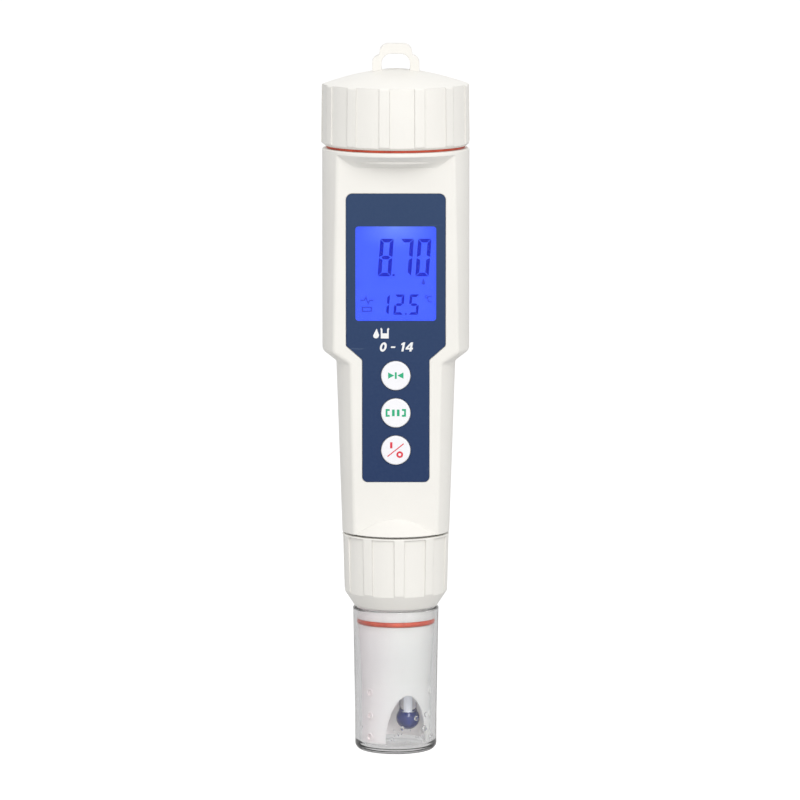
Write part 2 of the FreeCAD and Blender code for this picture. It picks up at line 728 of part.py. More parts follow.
def electrode_socket():
    """Receptacle in the housing; its tube contacts take the plug's pins."""
    body = turned(sharp([
        (0, 56.6), (9.8, 56.6), (9.8, 58.45), (11.2, 58.45), (11.2, 59.8), (8.6, 59.8),
        (8.6, 63.0), (0, 63.0)]))
    for hole in socket_holes(SLEEVE_R + 0.02, 50, 70):
        body = body.cut(hole)
    stop = block(-BIG, BIG, -BIG, -6.6, 50, 70)
    return body.cut(stop)


def socket_contacts():
    contacts = []
    for i in range(PIN_COUNT):
        sleeve = pipe(SLEEVE_R, PIN_R + 0.06, 57.0, 63.6, 0, -PIN_RING_R)
        contacts.append(about_axis(sleeve, PIN_PHASE_DEG + 360.0 * i / PIN_COUNT))
    return contacts


def electrode_body():
    body = turned([
        (0, GUARD_BOTTOM_Z, 0),
        (GUARD_R, GUARD_BOTTOM_Z, 0.5),
        (GUARD_R, 18.0, 6.0),
        (PROBE_R - 0.1, 30.6, 0.5),
        (PROBE_R - 0.1, 32.2, 0),
        (PROBE_R, 32.2, 0),
        (PROBE_R, 42.0, 0.2),
        (FLANGE_R, 42.0, 0.2),
        (FLANGE_R, 44.1, 0.2),
        (0, 44.1, 0)])
    groove = pipe(PROBE_R + 1, PROBE_R - 1.0, SEAL_Z - SEAL_R - 0.06, SEAL_Z + SEAL_R + 0.06)
    body = body.cut(groove)
    body = body.cut(rod(GUARD_BORE_R, GUARD_BOTTOM_Z - 1, GUARD_CEILING_Z + 2))
    body = body.cut(rod(8.1, 21.5, 45))
    arch = Part.Ellipse(CENTRE, ARCH_H, ARCH_HALF_W).toShape()
    arch.rotate(CENTRE, Vector(1, 0, 0), 90)
    arch.rotate(CENTRE, Vector(0, 1, 0), 90)
    arch_cut = Part.Face(Part.Wire(arch)).extrude(Vector(0, GUARD_R + 2, 0))
    arch_cut.translate(Vector(0, -GUARD_R - 2, GUARD_BOTTOM_Z))
    body = body.cut(about_axis(arch_cut, GUARD_TURN_DEG))
    for z in VENT_HEIGHTS:
        vent = Part.makeCylinder(VENT_R, 4, Vector(0, GUARD_R + 1, z), Vector(0, -1, 0))
        body = body.cut(about_axis(vent, GUARD_TURN_DEG))
    dimple = Part.makeCylinder(0.7, 3, Vector(0, -GUARD_R + 0.35, 0), Vector(0, -1, 0))
    for z in DIMPLE_HEIGHTS:
        row = dimple.copy()
        row.translate(Vector(0, 0, z))
        for mark in ring_of(row, 3, DIMPLE_PHASE_DEG):
            body = body.cut(mark)
    for x, y, radius in PASSAGES:
        body = body.cut(rod(radius, 10, 25, x, y))
    return body


def sensor_potting():
    """Dark sealing compound around the glass, at the ceiling of the guard."""
    disc = rod(GUARD_BORE_R - 0.02, GUARD_CEILING_Z, GUARD_CEILING_Z + 2.0)
    for x, y, radius in PASSAGES:
        disc = disc.cut(rod(radius, 10, 25, x, y))
    return disc


def glass_stem():
    return pipe(STEM_R, 1.6, 11.2, 38.0, SENSOR_X, SENSOR_Y)


def glass_bulb():
    place = Vector(SENSOR_X, SENSOR_Y, BULB_Z)
    shell = Part.makeSphere(BULB_R, place).cut(Part.makeSphere(BULB_R - 0.4, place))
    return shell.cut(rod(STEM_R + 0.02, BULB_Z + 1.6, BULB_Z + 5, SENSOR_X, SENSOR_Y))


def bulb_electrolyte():
    """Coloured inner solution, filling the bulb and the foot of the stem."""
    place = Vector(SENSOR_X, SENSOR_Y, BULB_Z)
    drop = Part.makeSphere(BULB_R - 0.42, place)
    drop = drop.cut(rod(STEM_R + 0.04, BULB_Z + 1.55, BULB_Z + 5, SENSOR_X, SENSOR_Y))
    column = rod(1.57, BULB_Z, 26.0, SENSOR_X, SENSOR_Y)
    liquid = fused(drop, [column])
    return liquid.cut(rod(0.52, BULB_Z - 0.5, 30.0, SENSOR_X, SENSOR_Y))


def silver_wire():
    return rod(0.5, BULB_Z - 0.4, 43.0, SENSOR_X, SENSOR_Y)


def temperature_probe():
    return turned_at([
        (0, 6.6, 0), (TEMPERATURE_R, 6.6, 1.0), (TEMPERATURE_R, 30.0, 0), (0, 30.0, 0)],
        TEMPERATURE_X, TEMPERATURE_Y)


def reference_junction():
    return rod(JUNCTION_R, 16.4, 23.0, JUNCTION_X, JUNCTION_Y)


def reference_wire():
    return rod(0.4, 24.0, 43.0, JUNCTION_X, JUNCTION_Y)


def electrode_plug():
    plug = turned([
        (0, 38.6, 0), (8.05, 38.6, 0.3), (8.05, 44.12, 0), (9.6, 44.12, 0.2),
        (9.6, PLUG_TOP_Z, 0.5), (0, PLUG_TOP_Z, 0)])
    groove = pipe(11, 8.6, 48.0, 49.4)
    plug = plug.cut(groove)
    for hole in socket_holes(PIN_R, 47.0, 70):
        plug = plug.cut(hole)
    for x, y, radius in ((SENSOR_X, SENSOR_Y, 2.25), (JUNCTION_X, JUNCTION_Y, 0.45)):
        plug = plug.cut(rod(radius, 38, 43.2, x, y))
    return plug


def plug_pins():
    pin = turned_at([
        (0, 47.0, 0), (PIN_R, 47.0, 0), (PIN_R, 61.2, 0.35), (0, 61.2, 0)], 0, -PIN_RING_R)
    return ring_of(pin, PIN_COUNT, PIN_PHASE_DEG)


def plug_seal():
    return o_ring(9.25, 0.6, 48.7)


def probe_seal():
    return o_ring(PROBE_R - 0.38, SEAL_R, SEAL_Z)


# ---------------------------------------------------------------- collar and storage cap
def collar():
    outer = turned([
        (0, COLLAR_TIP_Z, 0),
        (COLLAR_TIP_R, COLLAR_TIP_Z, 0.2),
        (COLLAR_R - 0.1, COLLAR_CONE_Z, 0),
        (COLLAR_TOP_R, COLLAR_TOP_Z, 0.35),
        (0, COLLAR_TOP_Z, 0)])
    low = (COLLAR_R - COLLAR_GRIP_DEPTH, COLLAR_TIP_Z - 1)
    high = (COLLAR_TOP_R - COLLAR_GRIP_DEPTH, COLLAR_TOP_Z - COLLAR_BEAD_H)
    for cutter in grip_cutters(low, high, COLLAR_RIBS, COLLAR_RIB_DEG, COLLAR_RIB_PHASE_DEG):
        outer = outer.cut(cutter)
    bore = turned(sharp([
        (0, COLLAR_TIP_Z - 1), (COLLAR_MOUTH_R, COLLAR_TIP_Z - 1), (COLLAR_MOUTH_R, COLLAR_LEDGE_Z),
        (FLANGE_R + 0.25, COLLAR_LEDGE_Z), (FLANGE_R + 0.25, 44.0), (COLLAR_BORE_R, 45.2),
        (COLLAR_BORE_R, COLLAR_TOP_Z + 1), (0, COLLAR_TOP_Z + 1)]))
    ring = outer.cut(bore)
    ridge = helical_ridge(
        COLLAR_BORE_R, COLLAR_BORE_R - THREAD_HEIGHT - 0.05, LOW_THREAD_Z + 1.5 * PITCH, 1.0)
    return ring.fuse(ridge)


def storage_cap():
    outer = turned([
        (0, 0, 0), (CUP_BASE_R - 0.05, 0, CUP_CORNER_R), (CUP_BASE_R, 10.0, 0),
        (CUP_TOP_R - 0.15, 30.0, 0), (CUP_TOP_R, CUP_TOP_Z, 0.3), (0, CUP_TOP_Z, 0)])
    inner = turned([
        (0, CUP_FLOOR_T, 0), (9.55, CUP_FLOOR_T, 1.5), (9.65, 14.0, 0), (CUP_BORE_R, 29.5, 0),
        (CUP_BORE_R, CUP_TOP_Z - 0.5, 0), (CUP_BORE_R + 0.3, CUP_TOP_Z + 0.5, 0), (0, CUP_TOP_Z + 0.5, 0)])
    return outer.cut(inner)


# ---------------------------------------------------------------- export
def group(solids):
    """Separate solids that share one node."""
    return Part.makeCompound(solids)


def build():
    return {
        "housing_shell": housing_shell(),
        "front_overlay": front_overlay(),
        "display_window": display_window(),
        "battery_cap_seal": battery_cap_seal(),
        "lcd_panel": lcd_panel(),
        "lcd_frame": lcd_frame(),
        "backlight_guide": backlight_guide(),
        "backlight_leds": group(backlight_leds()),
        "elastomer_connector": elastomer_connector(),
        "main_board": main_board(),
        "tact_switches": group(tact_switches()),
        "microcontroller": microcontroller(),
        "amplifier_chip": amplifier_chip(),
        "chip_capacitors": group(chip_capacitors()),
        "inner_chassis": inner_chassis(),
        "board_screws": group(board_screws()),
        "battery_holder": battery_holder(),
        "button_cells": group(button_cells()),
        "battery_spring": battery_spring(),
        "ring_contact": ring_contact(),
        "contact_strips": group(contact_strips()),
        "electrode_socket": electrode_socket(),
        "socket_contacts": group(socket_contacts()),
        "calibrate_key": key_cap(KEY_HEIGHTS[0]),
        "hold_key": key_cap(KEY_HEIGHTS[1]),
        "power_key": key_cap(KEY_HEIGHTS[2]),
        "battery_cap": battery_cap(),
        "cap_contact": cap_contact(),
        "electrode_body": electrode_body(),
        "sensor_potting": sensor_potting(),
        "glass_stem": glass_stem(),
        "glass_bulb": glass_bulb(),
        "bulb_electrolyte": bulb_electrolyte(),
        "silver_wire": silver_wire(),
        "temperature_probe": temperature_probe(),
        "reference_junction": reference_junction(),
        "reference_wire": reference_wire(),
        "electrode_plug": electrode_plug(),
        "plug_pins": group(plug_pins()),
        "plug_seal": plug_seal(),
        "probe_seal": probe_seal(),
        "collar": collar(),
        "storage_cap": storage_cap(),
    }


def main():
    os.makedirs("parts", exist_ok=True)
    for name, shape in build().items():
        solids = len(shape.Solids)
        print(f"{name}: valid {shape.isValid()}, solids {solids}, volume {shape.Volume:.1f}")
        shape.exportStep(f"parts/{name}.step")


main()
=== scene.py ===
import json
import math
import random

import bmesh
import bpy
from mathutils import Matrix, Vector


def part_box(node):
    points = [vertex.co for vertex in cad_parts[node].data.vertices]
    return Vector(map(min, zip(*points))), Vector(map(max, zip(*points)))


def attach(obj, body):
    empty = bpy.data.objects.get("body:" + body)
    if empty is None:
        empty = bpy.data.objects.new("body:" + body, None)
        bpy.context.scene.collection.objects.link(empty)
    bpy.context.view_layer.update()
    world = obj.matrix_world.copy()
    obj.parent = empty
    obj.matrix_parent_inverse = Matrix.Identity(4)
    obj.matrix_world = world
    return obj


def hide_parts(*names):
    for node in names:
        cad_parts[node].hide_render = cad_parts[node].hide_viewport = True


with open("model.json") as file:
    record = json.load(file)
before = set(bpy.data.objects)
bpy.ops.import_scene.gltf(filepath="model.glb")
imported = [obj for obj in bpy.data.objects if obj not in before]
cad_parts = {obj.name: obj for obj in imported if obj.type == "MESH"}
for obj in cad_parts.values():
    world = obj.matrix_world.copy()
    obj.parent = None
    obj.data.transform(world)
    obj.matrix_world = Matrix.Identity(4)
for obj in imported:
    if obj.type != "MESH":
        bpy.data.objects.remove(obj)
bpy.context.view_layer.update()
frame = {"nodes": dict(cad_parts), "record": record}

# A pocket pH tester. Metres throughout, except that marks on the display, overlay and keys and the
# places of water drops are given in millimetres and multiplied by MM. -Y is the front, +Z is up.
MM = 0.001
NODES = frame["nodes"]

# Camera
CAMERA_AT = Vector((1.07, -1560.0, 289.7)) * MM
CAMERA_LOOKS_AT = Vector((1.07, 0.0, 90.4)) * MM
CAMERA_LENS = 276.6
CAMERA_SENSOR = 36.0

# Light and floor
ROOM_LIGHT = 0.96
ROOM_SIDE_LIGHT = 0.67
ROOM_DIMS_FROM = 0.35
KEY_AT = (0.3, -1.24, 0.85)
KEY_AIMS_AT = (0, 0, 0.09)
KEY_SIZE = (0.7, 0.9)
KEY_POWER = 8.4
KEY_COLOUR = (1.0, 0.985, 0.96)
FLOOR_GLOW = 0.23
FLOOR_BOUNCE = 0.62
FLOOR_SEEN = 0.9
FLOOR_PATCHES = 0.8
FLOOR_HALF = 6.0
FLOOR_Z = -47.0 * MM  # clear of the storage cap when it is pulled off and the collar is unscrewed

# Colours, linear
SHELL_LIGHT = (0.865, 0.85, 0.81)
SHELL_DARK = (0.825, 0.81, 0.77)
# the overlay's top colour is lighter than its bottom by a painted reflection of the soft light
NAVY_TOP_PAINTED_REFLECTION = (0.021, 0.05, 0.127)
NAVY_BOTTOM = (0.009, 0.031, 0.106)
GLOW = (0.058, 0.115, 1.0)
GLOW_LIGHT = (0.165, 0.28, 1.0)
SEGMENT_BLUE = (0.01, 0.02, 0.56)
SEGMENT_FAINT = (0.035, 0.06, 0.72)
PRINT_WHITE = (0.86, 0.87, 0.88)
KEY_GREEN = (0.015, 0.42, 0.2)
KEY_RED = (0.72, 0.03, 0.055)

# Materials
NOISE_ROUGHNESS = 0.55
NOISE_SPAN = (0.3, 0.7)  # most of a noise texture lies between these values
SHELL_EDGE_R = 0.0003
SMOOTH_ANGLE = math.radians(28.0)

# Thin marks: how far the face stands proud of its base, and the thickness
SEGMENT_PROUD = 0.00002
SEGMENT_THICK = 0.00003
INK_PROUD = 0.000012
INK_THICK = 0.00002


# ---------------------------------------------------------------- material building blocks
class Nodes:
    """Short calls for the few shader nodes that the finishes are made of."""

    def __init__(self, name):
        self.material = bpy.data.materials.new(name)
        self.material.use_nodes = True
        self.tree = self.material.node_tree
        self.tree.nodes.clear()
        self.object_space = self.add("ShaderNodeTexCoord").outputs["Object"]

    def add(self, kind, **settings):
        node = self.tree.nodes.new(kind)
        for key, value in settings.items():
            setattr(node, key, value)
        return node

    def put(self, socket, value):
        """A link where the value is another node's socket, otherwise a plain value."""
        if isinstance(value, bpy.types.NodeSocket):
            self.tree.links.new(value, socket)
        elif isinstance(value, tuple) and len(value) == 3 and socket.type == "RGBA":
            socket.default_value = value + (1.0,)
        else:
            socket.default_value = value

    def stretched(self, scale):
        mapping = self.add("ShaderNodeMapping")
        self.put(mapping.inputs["Vector"], self.object_space)
        mapping.inputs["Scale"].default_value = scale
        return mapping.outputs["Vector"]

    def noise(self, per_metre, detail=3.0, stretch=(1.0, 1.0, 1.0)):
        node = self.add("ShaderNodeTexNoise")
        self.put(node.inputs["Vector"], self.stretched(stretch))
        node.inputs["Scale"].default_value = per_metre
        node.inputs["Detail"].default_value = detail
        node.inputs["Roughness"].default_value = NOISE_ROUGHNESS
        return node.outputs["Fac"]

    def cells(self, per_metre):
        node = self.add("ShaderNodeTexVoronoi")
        self.put(node.inputs["Vector"], self.object_space)
        node.inputs["Scale"].default_value = per_metre
        return node.outputs["Distance"]

    def ranged(self, value, low, high, to_low, to_high):
        node = self.add("ShaderNodeMapRange")
        self.put(node.inputs["Value"], value)
        numbers = {"From Min": low, "From Max": high, "To Min": to_low, "To Max": to_high}
        for name, number in numbers.items():
            node.inputs[name].default_value = number
        return node.outputs["Result"]

    def maths(self, operation, a, b=0.0):
        node = self.add("ShaderNodeMath", operation=operation)
        self.put(node.inputs[0], a)
        self.put(node.inputs[1], b)
        return node.outputs["Value"]

    def along(self, axis):
        node = self.add("ShaderNodeSeparateXYZ")
        self.put(node.inputs["Vector"], self.object_space)
        return node.outputs[axis]

    def distance(self, point, scale):
        """Distance from a point, with each direction counted by its scale."""
        node = self.add("ShaderNodeVectorMath", operation="DISTANCE")
        self.put(node.inputs[0], self.stretched(scale))
        node.inputs[1].default_value = [p * s for p, s in zip(point, scale)]
        return node.outputs["Value"]

    def blend(self, factor, a, b):
        node = self.add("ShaderNodeMix", data_type="RGBA")
        self.put(node.inputs["Factor"], factor)
        self.put(node.inputs["A"], a)
        self.put(node.inputs["B"], b)
        return node.outputs["Result"]

    def bump(self, height, distance, strength=1.0, after=None):
        node = self.add("ShaderNodeBump")
        self.put(node.inputs["Height"], height)
        node.inputs["Distance"].default_value = distance
        node.inputs["Strength"].default_value = strength
        if after is not None:
            self.put(node.inputs["Normal"], after)
        return node.outputs["Normal"]

    def eased_edges(self, radius):
        """Normals that turn over a small radius at moulded edges."""
        node = self.add("ShaderNodeBevel", samples=4)
        node.inputs["Radius"].default_value = radius
        return node.outputs["Normal"]

    def principled(self, **values):
        node = self.add("ShaderNodeBsdfPrincipled")
        for key, value in values.items():
            self.put(node.inputs[key.replace("_", " ")], value)
        return node.outputs["BSDF"]

    def finish(self, shader, absorbing=None):
        """absorbing is (colour, density per metre) of the clear body behind the surface."""
        output = self.add("ShaderNodeOutputMaterial")
        self.put(output.inputs["Surface"], shader)
        if absorbing:
            volume = self.add("ShaderNodeVolumeAbsorption")
            self.put(volume.inputs["Color"], absorbing[0])
            volume.inputs["Density"].default_value = absorbing[1]
            self.put(output.inputs["Volume"], volume.outputs["Volume"])
        return self.material

    def lit_through(self, shader):
        """Glass that lamps shine through: shadow rays pass it as if it were clear."""
        path = self.add("ShaderNodeLightPath").outputs["Is Shadow Ray"]
        clear = self.add("ShaderNodeBsdfTransparent")
        clear.inputs["Color"].default_value = (0.97, 0.98, 0.98, 1.0)
        mix = self.add("ShaderNodeMixShader")
        self.put(mix.inputs[0], path)
        self.put(mix.inputs[1], shader)
        self.put(mix.inputs[2], clear.outputs["BSDF"])
        return mix.outputs["Shader"]


def moulded(name, light, dark, roughness=0.36, grain=0.000012, specular=0.5, edge=None):
    """Injection-moulded plastic: slow colour drift, fine spark-eroded grain, faint scuffs."""
    n = Nodes(name)
    drift = n.ranged(n.noise(38.0, 2.0), *NOISE_SPAN, 0.0, 1.0)
    specks = n.ranged(n.noise(2600.0, 2.0), 0.62, 0.8, 0.0, 0.35)
    colour = n.blend(drift, dark, light)
    colour = n.blend(specks, colour, dark)
    scuffs = n.ranged(n.noise(420.0, 4.0, (1.0, 1.0, 0.12)), 0.58, 0.72, 0.0, 0.12)
    gloss = n.ranged(n.noise(95.0, 3.0), *NOISE_SPAN, roughness - 0.04, roughness + 0.05)
    gloss = n.maths("ADD", gloss, scuffs)
    eased = n.eased_edges(edge) if edge else None
    normal = n.bump(n.noise(1900.0, 2.0), grain, 0.6, eased)
    normal = n.bump(n.noise(60.0, 1.0), grain * 6, 0.5, normal)
    return n.finish(n.principled(
        Base_Color=colour, Roughness=gloss, Normal=normal, Specular_IOR_Level=specular))


def metal(name, light, dark, roughness=0.28, stretch=(1.0, 1.0, 0.05)):
    """Plated or drawn metal with fine lines along it and patchy tarnish."""
    n = Nodes(name)
    tarnish = n.ranged(n.noise(260.0, 3.0), 0.35, 0.7, 0.0, 1.0)
    lines = n.noise(5200.0, 2.0, stretch)
    colour = n.blend(tarnish, light, dark)
    gloss = n.ranged(tarnish, 0.0, 1.0, roughness, roughness + 0.14)
    normal = n.bump(lines, 0.000006, 0.5)
    return n.finish(n.principled(Base_Color=colour, Metallic=1.0, Roughness=gloss, Normal=normal))


def rubber(name, light, dark, roughness=0.5):
    """Silicone: soft sheen, dust and a slight waviness along the ring."""
    n = Nodes(name)
    patches = n.ranged(n.noise(350.0, 3.0), 0.35, 0.65, 0.0, 1.0)
    dust = n.ranged(n.noise(3800.0, 1.0), 0.66, 0.78, 0.0, 0.3)
    colour = n.blend(patches, dark, light)
    colour = n.blend(dust, colour, (0.8, 0.72, 0.66))
    normal = n.bump(n.noise(900.0, 2.0), 0.00002, 0.5)
    gloss = n.ranged(patches, 0.0, 1.0, roughness, roughness + 0.1)
    return n.finish(n.principled(Base_Color=colour, Roughness=gloss, Normal=normal))


# ---------------------------------------------------------------- materials of the pen
def overlay_material():
    """Navy film, satin, with a few hairline scratches; a painted reflection lightens it towards the
    top.
    """
    low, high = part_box("front_overlay")
    n = Nodes("navy_film")
    # painted reflection: the colour turns lighter from bottom to top
    reflection_rise = n.ranged(n.along("Z"), low.z, high.z, 0.0, 1.0)
    colour = n.blend(reflection_rise, NAVY_BOTTOM, NAVY_TOP_PAINTED_REFLECTION)
    weave = n.ranged(n.noise(1500.0, 3.0), 0.3, 0.75, 0.0, 0.1)
    colour = n.blend(weave, colour, (0.06, 0.1, 0.19))
    scratch = n.ranged(n.noise(210.0, 5.0, (0.25, 1.0, 1.6)), 0.68, 0.72, 0.0, 0.35)
    colour = n.blend(scratch, colour, (0.12, 0.17, 0.27))
    gloss = n.ranged(n.noise(300.0, 3.0), *NOISE_SPAN, 0.34, 0.44)
    normal = n.bump(n.noise(2400.0, 2.0), 0.000008, 0.5)
    return n.finish(n.principled(
        Base_Color=colour, Roughness=gloss, Normal=normal, Specular_IOR_Level=0.3))


def glow_colour(n, low, high):
    """Backlight that spreads from the middle of the top edge."""
    lamp_drop = 0.0015
    flatten = 1.6
    reach = 0.011
    fall = 1.6
    lamp = ((low.x + high.x) / 2, low.y, high.z - lamp_drop)
    near = n.ranged(n.distance(lamp, (1.0, 0.0, flatten)), 0.0, reach, 1.0, 0.0)
    return n.blend(n.maths("POWER", near, fall), GLOW, GLOW_LIGHT)


def lcd_material():
    low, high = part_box("display_window")
    n = Nodes("lcd_backlit")
    glow = glow_colour(n, low, high)
    cloud = n.ranged(n.noise(240.0, 2.0), *NOISE_SPAN, 0.95, 1.03)
    normal = n.bump(n.cells(3200.0), 0.000003, 0.3)
    return n.finish(n.principled(
        Base_Color=(0.01, 0.02, 0.12), Roughness=0.4, Normal=normal, Specular_IOR_Level=0.1,
        Emission_Color=glow, Emission_Strength=cloud))


def segment_material(name, colour, strength):
    """Liquid-crystal segments: dark, but the backlight still comes through them."""
    n = Nodes(name)
    cloud = n.ranged(n.noise(700.0, 2.0), *NOISE_SPAN, strength * 0.9, strength * 1.05)
    tone = n.ranged(n.noise(420.0, 2.0), *NOISE_SPAN, 0.0, 0.25)
    glow = n.blend(tone, colour, tuple(c * 1.25 for c in colour))
    return n.finish(n.principled(
        Base_Color=(0.005, 0.006, 0.05), Roughness=0.4, Specular_IOR_Level=0.1,
        Emission_Color=glow, Emission_Strength=cloud))


def electrode_material():
    """Pale translucent plastic, a little pink to one side; painted light brightens that side and low in
    the window.
    """
    # painted light: emission that brightens the -X side and the low inside of the window
    painted_side_light = 0.1
    painted_window_light = 0.09
    n = Nodes("electrode_abs")
    side = n.ranged(n.along("X"), -0.009, 0.002, 1.0, 0.0)
    inside = n.ranged(n.distance((0.0, 0.0, 0.0), (1.0, 1.0, 0.0)), 0.0078, 0.0082, 1.0, 0.0)
    low = n.maths("MULTIPLY", inside, n.ranged(n.along("Z"), 0.002, 0.007, 1.0, 0.0))
    # painted light: emission strength, high on the -X side and low inside the window
    glow = n.maths("ADD", n.maths("MULTIPLY", side, painted_side_light), n.maths("MULTIPLY", low, painted_window_light))
    drift = n.ranged(n.noise(38.0, 2.0), *NOISE_SPAN, 0.0, 1.0)
    pale = n.blend(drift, (0.93, 0.915, 0.895), (0.96, 0.94, 0.925))
    pink = n.blend(drift, (0.97, 0.87, 0.885), (0.98, 0.89, 0.905))
    colour = n.blend(side, pale, pink)
    specks = n.ranged(n.noise(2600.0, 2.0), 0.62, 0.8, 0.0, 0.3)
    colour = n.blend(specks, colour, (0.84, 0.8, 0.79))
    gloss = n.ranged(n.noise(95.0, 3.0), *NOISE_SPAN, 0.34, 0.46)
    normal = n.bump(n.noise(1900.0, 2.0), 0.000012, 0.6)
    return n.finish(n.principled(
        Base_Color=colour, Roughness=gloss, Normal=normal, Subsurface_Weight=0.5,
        Subsurface_Scale=0.006, Subsurface_Radius=(1.0, 0.9, 0.9),
        Emission_Color=pink, Emission_Strength=glow))


def window_material():
    """Clear acrylic lens with a faint smear."""
    n = Nodes("acrylic_lens")
    gloss = n.ranged(n.noise(180.0, 3.0), 0.45, 0.75, 0.03, 0.09)
    smear = n.ranged(n.noise(60.0), *NOISE_SPAN, 0.0, 1.0)
    tint = n.blend(smear, (0.97, 0.98, 1.0), (0.99, 0.99, 1.0))
    normal = n.bump(n.noise(120.0, 1.0), 0.000006, 0.4)
    shader = n.principled(
        Base_Color=tint, Roughness=gloss, Normal=normal, Transmission_Weight=1.0, IOR=1.12)
    return n.finish(n.lit_through(shader))


def cup_material():
    """Moulded clear cup: slow flow waves, light haze and a few fine scratches."""
    n = Nodes("clear_styrene")
    haze = n.ranged(n.noise(140.0, 3.0), 0.4, 0.8, 0.03, 0.13)
    scratch = n.ranged(n.noise(900.0, 4.0, (1.0, 1.0, 0.06)), 0.66, 0.74, 0.0, 0.12)
    gloss = n.maths("ADD", haze, scratch)
    flow = n.ranged(n.noise(55.0), *NOISE_SPAN, 0.0, 1.0)
    tint = n.blend(flow, (0.95, 0.955, 0.965), (0.985, 0.985, 0.985))
    normal = n.bump(n.noise(85.0, 2.0), 0.00006, 0.35)
    shader = n.principled(
        Base_Color=tint, Roughness=gloss, Normal=normal, Transmission_Weight=1.0, IOR=1.49)
    absorbing = ((0.6, 0.59, 0.59), 55.0)
    return n.finish(n.lit_through(shader), absorbing)


def sensor_glass_material():
    """Thin blown glass, faintly blue in places."""
    n = Nodes("electrode_glass")
    patches = n.ranged(n.noise(300.0), *NOISE_SPAN, 0.0, 1.0)
    tint = n.blend(patches, (0.9, 0.93, 0.97), (0.97, 0.98, 0.99))
    gloss = n.ranged(n.noise(500.0), 0.4, 0.8, 0.02, 0.08)
    normal = n.bump(n.noise(400.0, 1.0), 0.00002, 0.4)
    shader = n.principled(
        Base_Color=tint, Roughness=gloss, Normal=normal, Transmission_Weight=1.0, IOR=1.47)
    return n.finish(n.lit_through(shader))


def electrolyte_material():
    """Deep blue inner solution around a white filling tube that glows with painted light."""
    low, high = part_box("bulb_electrolyte")
    # painted light: the white tube glows so that it stays bright inside the shaded guard
    painted_tube_light = 0.38
    n = Nodes("blue_solution")
    from_axis = n.distance((low + high) / 2, (1.0, 1.0, 0.0))
    in_tube = n.ranged(from_axis, 0.0009, 0.0011, 1.0, 0.0)
    upper = n.ranged(n.along("Z"), low.z + 0.003, low.z + 0.0034, 0.0, 1.0)
    swirl = n.ranged(n.noise(600.0, 3.0), *NOISE_SPAN, 0.0, 1.0)
    blue = n.blend(swirl, (0.006, 0.02, 0.19), (0.014, 0.045, 0.34))
    tube = n.maths("MULTIPLY", in_tube, upper)
    colour = n.blend(tube, blue, (0.9, 0.91, 0.93))
    normal = n.bump(n.noise(700.0, 1.0), 0.00002, 0.4)
    return n.finish(n.principled(
        Base_Color=colour, Roughness=0.08, Normal=normal, Specular_IOR_Level=0.5,
        Coat_Weight=0.4, Emission_Color=(0.93, 0.95, 1.0),
        Emission_Strength=n.maths("MULTIPLY", tube, painted_tube_light)))


def board_material():
    """Green solder mask with copper traces under it and tinned pads."""
    n = Nodes("solder_mask")
    traces = n.add("ShaderNodeTexBrick")
    n.put(traces.inputs["Vector"], n.stretched((1.0, 1.0, 1.0)))
    traces.inputs["Scale"].default_value = 260.0
    traces.inputs["Color1"].default_value = (0.012, 0.13, 0.05, 1.0)
    traces.inputs["Color2"].default_value = (0.014, 0.11, 0.045, 1.0)
    traces.inputs["Mortar"].default_value = (0.03, 0.22, 0.09, 1.0)
    pads = n.ranged(n.cells(420.0), 0.0, 0.16, 1.0, 0.0)
    tinned = n.maths("GREATER_THAN", pads, 0.45)
    colour = n.blend(tinned, traces.outputs["Color"], (0.62, 0.62, 0.58))
    normal = n.bump(traces.outputs["Fac"], 0.00002, 0.5)
    return n.finish(n.principled(Base_Color=colour, Roughness=0.3, Normal=normal))


def glow_sheet_material():
    """Acrylic light guide, milky blue while the lamp is on."""
    n = Nodes("light_guide_acrylic")
    dots = n.ranged(n.cells(1500.0), 0.1, 0.4, 1.0, 0.0)
    colour = n.blend(dots, (0.5, 0.6, 0.95), (0.8, 0.86, 1.0))
    normal = n.bump(dots, 0.00001, 0.4)
    return n.finish(n.principled(
        Base_Color=colour, Roughness=0.25, Normal=normal, Emission_Color=(0.1, 0.2, 1.0),
        Emission_Strength=0.3))


def striped_elastomer_material():
    """Alternating conducting and insulating layers of a display connector."""
    n = Nodes("zebra_strip")
    wave = n.add("ShaderNodeTexWave", bands_direction="X")
    n.put(wave.inputs["Vector"], n.object_space)
    wave.inputs["Scale"].default_value = 900.0
    colour = n.blend(wave.outputs["Fac"], (0.015, 0.015, 0.016), (0.55, 0.42, 0.4))
    normal = n.bump(wave.outputs["Fac"], 0.00001, 0.5)
    return n.finish(n.principled(Base_Color=colour, Roughness=0.6, Normal=normal))


